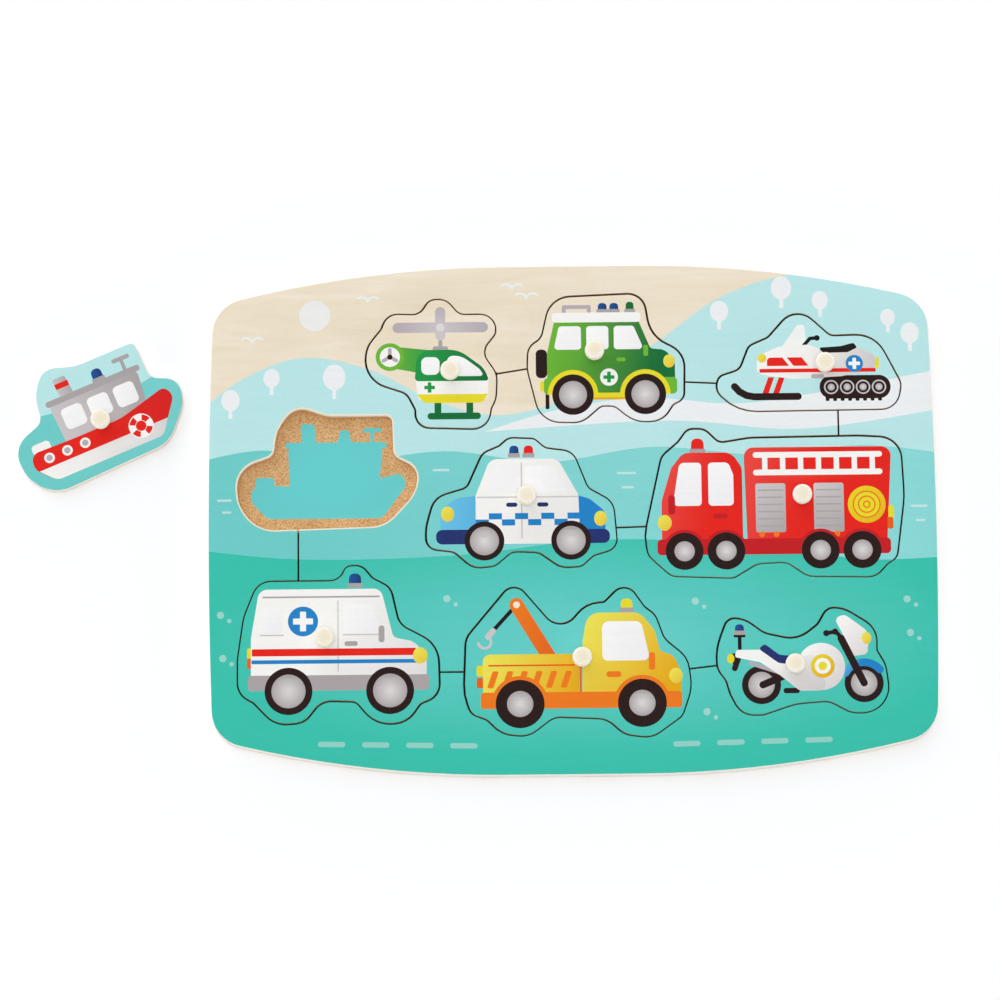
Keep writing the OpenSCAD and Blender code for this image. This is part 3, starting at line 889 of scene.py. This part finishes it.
def attribute(tree, name):
    """What the mesh keeps: a corner's ink, or a point's place on the sheet."""
    return node(tree, "Attribute", attribute_name=name)


def noise(tree, place, scale, detail=4, roughness=0.55, distortion=0.0):
    """Noise stretched by three scales, as a value."""
    scaled = node(tree, "Mapping", {"Vector": place, "Scale": scale})["Vector"]
    return node(tree, "TexNoise", {"Vector": scaled, "Scale": 1.0, "Detail": detail, "Roughness": roughness,
                                   "Distortion": distortion})["Fac"]


def rgba(colour):
    """Linear colour of a hex code or a grey value."""
    return (*linear(colour), 1) if isinstance(colour, str) else (colour, colour, colour, 1)


def ramp(tree, value, *stops, constant=False):
    """A colour ramp through (position, hex colour or grey value) stops."""
    made = node(tree, "ValToRGB", {"Fac": value})["Color"]
    colours = made.node.color_ramp
    colours.interpolation = "CONSTANT" if constant else "LINEAR"
    while len(colours.elements) < len(stops):
        colours.elements.new(0.5)
    for element, (position, colour) in zip(colours.elements, stops):
        element.position = position
        element.color = rgba(colour)
    return made


def mixed(tree, share, first, last, blend="MIX"):
    """A colour with a share of another mixed in, which may be a hex colour."""
    last = rgba(last) if isinstance(last, str) else last
    return node(tree, "Mix", {0: share, 6: first, 7: last}, data_type="RGBA", blend_type=blend)[2]


def tinted(tree, colour, value, *stops):
    """A colour multiplied by a colour ramp."""
    return mixed(tree, 1.0, colour, ramp(tree, value, *stops), "MULTIPLY")


def maths(tree, operation, *values):
    """The result of an operation on values."""
    return node(tree, "Math", dict(enumerate(values)), operation=operation)["Value"]


def surface(tree, colour, roughness, shine, height, strength, distance):
    """Ends a material in a Principled shader with a bump."""
    normal = node(tree, "Bump", {"Height": height, "Strength": strength, "Distance": distance})["Normal"]
    shader = node(tree, "BsdfPrincipled", {"Base Color": colour, "Roughness": roughness,
                                           "Specular IOR Level": shine, "Normal": normal})
    node(tree, "OutputMaterial", {"Surface": shader["BSDF"]})


def printed_plywood():
    """Pale veneer with a faint straight grain, under ink that hides nearly all of it."""
    material, tree = emptied(bpy.data.materials.new("printed_plywood"))
    place = attribute(tree, "place")["Vector"]
    ink = attribute(tree, "ink")
    figure = noise(tree, place, (0.016, 0.06, 0.1), detail=3, distortion=1.6)
    streaks = noise(tree, place, (0.03, 0.4, 0.6), roughness=0.6, distortion=0.8)
    pores = ramp(tree, noise(tree, place, (0.3, 3.2, 3.2), detail=3), (0.54, 0.0), (0.72, 1.0))
    wood = ramp(tree, figure, (0.3, "EBDEC6"), (0.5, "EEE2CC"), (0.7, "F1E7D4"))
    wood = mixed(tree, ramp(tree, streaks, (0.34, 0.16), (0.56, 0.0)), wood, "DECBAA")
    wood = mixed(tree, maths(tree, "MULTIPLY", pores, 0.12), wood, "C8AC84")
    specks = noise(tree, place, (0.5, 0.9, 1.0), detail=3)
    tint = tinted(tree, ink["Color"], streaks, (0.35, "FCFDFD"), (0.6, 1.0))
    tint = tinted(tree, tint, specks, (0.3, "FCFCFC"), (0.65, 1.0))
    seep = ramp(tree, pores, (0.0, 1.0), (1.0, 0.985))
    colour = mixed(tree, maths(tree, "MULTIPLY", ink["Alpha"], seep), wood, tint)
    roughness = ramp(tree, specks, (0.3, 0.5), (0.7, 0.62))
    surface(tree, colour, roughness, 0.08, pores, 0.08, -0.00003)
    return material


def plywood_edge(name, plies, crest, foot):
    """Sawn and sanded edge of the front sheet: two face plies, a core and the glue lines between them.
    The edge is tinted from the crest colour at the top to the foot colour at the backing, as painted shade."""
    material, tree = emptied(bpy.data.materials.new(name))
    face, core, glue = plies
    place = attribute(tree, "place")["Vector"]
    height = node(tree, "SeparateXYZ", {"Vector": place})["Z"]
    wobble = noise(tree, place, (0.12, 0.12, 0.1), detail=2)
    level = maths(tree, "MULTIPLY_ADD", wobble, 0.3, height)
    share = maths(tree, "MULTIPLY", level, 1 / SHEET_T)
    layers = ramp(tree, share, (0.0, face), (0.33, glue), (0.36, core), (0.69, glue), (0.72, face),
                  constant=True)
    fibres = noise(tree, place, (1.1, 1.1, 6.0), roughness=0.65)
    colour = tinted(tree, layers, fibres, (0.3, "F5F0E8"), (0.6, 1.0))
    # Painted shade: the edge darkens from the crest colour at the top to the foot colour at the backing
    colour = tinted(tree, colour, share, (0.1, foot), (0.95, crest))
    roughness = ramp(tree, fibres, (0.3, 0.6), (0.7, 0.72))
    surface(tree, colour, roughness, 0.15, fibres, 0.2, 0.00005)
    return material


def fibreboard(name, dark, middle, pale):
    """Pressed fibres with dark and pale flecks, printed where a piece's shadow shape lies.
    Its ink also lays painted shade in the bottoms of the saw gaps.
    """
    material, tree = emptied(bpy.data.materials.new(name))
    place = attribute(tree, "place")["Vector"]
    ink = attribute(tree, "ink")
    clouds = noise(tree, place, (0.05, 0.05, 0.05), detail=3)
    fibres = noise(tree, place, (2.0, 2.6, 2.2), detail=5, roughness=0.75)
    flecks = noise(tree, place, (1.5, 2.0, 1.8), detail=2, roughness=0.8)
    board = ramp(tree, fibres, (0.3, dark), (0.48, middle), (0.66, pale))
    board = mixed(tree, ramp(tree, flecks, (0.6, 0.0), (0.68, 0.8)), board, dark)
    board = mixed(tree, ramp(tree, flecks, (0.32, 0.8), (0.4, 0.0)), board, pale)
    board = tinted(tree, board, clouds, (0.35, "F3EDE6"), (0.65, 1.0))
    seep = ramp(tree, fibres, (0.3, 0.94), (0.6, 1.0))
    colour = mixed(tree, maths(tree, "MULTIPLY", ink["Alpha"], seep), board, ink["Color"])
    roughness = ramp(tree, fibres, (0.3, 0.7), (0.7, 0.85))
    surface(tree, colour, roughness, 0.2, fibres, 0.3, 0.00006)
    return material


def turned_wood():
    """Pale turned wood: warm end grain in the middle of the crown, fine lines along the sides.
    The crown pales towards its rounded rim as a painted highlight.
    """
    material, tree = emptied(bpy.data.materials.new("peg_wood"))
    place = attribute(tree, "place")["Vector"]
    level = node(tree, "Mapping", {"Vector": place, "Scale": (1.0, 1.0, 0.0)})["Vector"]
    radius = node(tree, "VectorMath", {0: level}, operation="LENGTH")["Value"]
    wobble = noise(tree, place, (0.5, 0.5, 0.1), detail=2)
    reach = maths(tree, "MULTIPLY", maths(tree, "MULTIPLY_ADD", wobble, 0.8, radius), 0.2)
    # Warm end grain in the middle, and paler towards the rounded rim as a painted highlight
    wood = ramp(tree, reach, (0.3, "F3EAD5"), (0.56, "F5EDDA"), (0.7, "FAF5E8"))
    off_heart = node(tree, "Mapping", {"Vector": place, "Location": (11.0, 4.0, 0.0),
                                       "Scale": (1.0, 1.0, 0.04)})["Vector"]
    rings = node(tree, "TexWave", {"Vector": off_heart, "Scale": 0.2, "Distortion": 2.2, "Detail": 3.0,
                                   "Detail Scale": 0.6}, wave_type="RINGS", rings_direction="Z")["Fac"]
    lines = noise(tree, place, (2.6, 2.6, 0.12), roughness=0.65)
    colour = tinted(tree, wood, rings, (0.0, "FDFBF7"), (0.7, 1.0))
    colour = tinted(tree, colour, lines, (0.32, "FDFBF7"), (0.6, 1.0))
    roughness = ramp(tree, lines, (0.3, 0.5), (0.7, 0.62))
    surface(tree, colour, roughness, 0.2, lines, 0.08, 0.00003)
    return material


def seen_directly(tree):
    """Whether a ray shows the background: from the camera, in a gloss or through glass."""
    path = node(tree, "LightPath")
    seen = maths(tree, "MAXIMUM", path["Is Camera Ray"], path["Is Glossy Ray"])
    return maths(tree, "MAXIMUM", seen, path["Is Transmission Ray"])


def white_floor():
    """A matt floor that shows white and keeps the shadows."""
    material, tree = emptied(bpy.data.materials.new("studio_floor"))
    lift = maths(tree, "MULTIPLY", seen_directly(tree), FLOOR_LIFT)
    matt = node(tree, "BsdfDiffuse", {"Color": (*FLOOR_GREY, 1)})["BSDF"]
    shine = node(tree, "Emission", {"Color": WHITE, "Strength": lift})["Emission"]
    both = node(tree, "AddShader", {0: matt, 1: shine})["Shader"]
    node(tree, "OutputMaterial", {"Surface": both})
    return material


plywood = printed_plywood()
# The crest and foot colours are painted shade towards the backing; faint on the rim and the loose boat's
# edge
rim_edge = plywood_edge("rim_edge", PALE_PLIES, "FFFFFF", "FBF8F2")
open_edge = plywood_edge("open_edge", PALE_PLIES, "FFFFFF", "F2E8DA")
# Painted shade: the seated pieces' edges darken towards the backing, where they stand in the saw gaps
shaded_piece_edge = plywood_edge("shaded_piece_edge", WARM_PLIES, "F2E6D0", "CDB08A")
# Painted shade: the walls of the filled recesses are dark brown, darkest at the backing
shaded_recess_wall = plywood_edge("shaded_recess_wall", WARM_PLIES, "B08C62", "6E4E33")
# Painted shade and painted orange light off the fibreboard, down the open recess's walls
shaded_open_wall = plywood_edge("shaded_open_wall", WARM_PLIES, "FFFFFF", "E0A66C")
backing_fibre = fibreboard("fibreboard", "96602E", "DBAA6E", "F6DDB3")
# Paler than the top: partly the sanded edge, partly painted light thrown up by the white floor
backing_edge = fibreboard("fibreboard_edge", "E4DACD", "EEE7DD", "F7F2EA")
peg_wood = turned_wood()


# Scene

def dress(made, body, stands_for):
    """Hangs a finished piece on its body and hides the CAD part that it stands for."""
    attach(made, body)
    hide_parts(stands_for)


def lying(piece):
    """The move that carries a piece's share of the print to where the piece lies."""
    low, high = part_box(piece + "_peg")
    return Move(HOME[piece], ((low + high) / 2 / MM).xy, TURN.get(piece, 0))


def make_board():
    """The printed front sheet with its recesses, and the fibreboard behind it."""
    move = Move(place=PRINT_SHIFT)
    outlines = top_outlines("front_board")
    recess = [lying("boat").back(p) for p in top_outlines("boat")[0]]
    pale_band = shifted(recess, SAW_GAP + PALE_BAND)
    sheet = slab("printed_sheet", "front_board", outlines, RIM_ROUND, RIM_INKED,
                 SHEET_PRINT + shapes(("cream", pale_band)), move,
                 [plywood, rim_edge, plywood, shaded_recess_wall, shaded_open_wall], pale_band)
    dress(sheet, "board", "front_board")
    # Painted shade: dark ink along the saw lines on the backing, wiped off under the pieces and open recess
    sawn = [[move.back(p) for p in outline] for outline in outlines[1:]]
    seated = [[move.back(p) for p in top_outlines(piece)[0]] for piece in HOME if piece not in TURN]
    shadows = shapes(("painted_gap_shade", *sawn), (wipe, pale_band, *seated),
                     ("silhouette", *[outline for outline, _ in VEHICLES]))
    backing = slab("backing_sheet", "backing_board", outlines[:1], LOWER_ROUND, 0, shadows, move,
                   [backing_fibre, backing_edge, backing_fibre])
    dress(backing, "board", "backing_board")


def make_piece(piece, number):
    """A sawn piece with its share of the print, and its peg."""
    # Seated pieces get the edge with painted shade towards the backing; the loose boat gets the pale one
    edge = open_edge if piece in TURN else shaded_piece_edge
    plate = slab(piece + "_plate", piece, top_outlines(piece)[:1], SAWN_ROUND, ROUND_STEPS, SHEET_PRINT,
                 lying(piece), [plywood, edge, plywood])
    dress(plate, piece + "_piece", piece)
    dress(peg(piece, number), piece + "_piece", piece + "_peg")


def make_floor():
    """The floor that the board and the boat lie on."""
    mesh = bpy.data.meshes.new("floor")
    corners = [(x * FLOOR_HALF, y * FLOOR_HALF, 0) for x, y in ((-1, -1), (1, -1), (1, 1), (-1, 1))]
    mesh.from_pydata(corners, [], [(0, 1, 2, 3)])
    mesh.materials.append(white_floor())
    floor = add("floor", mesh)
    floor.location.z = -FLOOR_DROP


def make_surroundings():
    """White surroundings that light the object mostly from the sides."""
    bpy.context.scene.world, tree = emptied(bpy.data.worlds.new("studio"))
    height = node(tree, "SeparateXYZ", {"Vector": node(tree, "TexCoord")["Generated"]})["Z"]
    light = node(tree, "Background", {"Color": WHITE, "Strength": ramp(tree, height, *WORLD_LIGHT)})
    seen = node(tree, "Background", {"Color": WHITE, "Strength": 1.0})
    both = node(tree, "MixShader", {0: seen_directly(tree), 1: light["Background"], 2: seen["Background"]})
    node(tree, "OutputWorld", {"Surface": both["Shader"]})


def make_lamps():
    """The wide soft lamps above the object."""
    for name, (energy, spread, heading) in LAMPS.items():
        light = bpy.data.lights.new(name, "SUN")
        light.energy = energy
        light.angle = math.radians(spread)
        add(name, light).rotation_euler = Vector(heading).to_track_quat("-Z", "Y").to_euler()


def make_camera():
    """The photograph's camera."""
    lens = bpy.data.cameras.new("camera")
    lens.lens = CAMERA_LENS
    lens.sensor_width = CAMERA_SENSOR
    tilt = Matrix.Rotation(math.radians(CAMERA_TILT), 4, "X")
    roll = Matrix.Rotation(math.radians(CAMERA_ROLL), 4, "Z")
    away = Matrix.Translation((0, 0, CAMERA_DISTANCE))
    camera = add("camera", lens)
    camera.matrix_world = Matrix.Translation(CAMERA_AIM) @ tilt @ roll @ away
    bpy.context.scene.camera = camera


make_board()
for number, piece in enumerate(HOME):
    make_piece(piece, number)
make_floor()
make_surroundings()
make_lamps()
make_camera()
bpy.context.scene.view_settings.view_transform = "Standard"
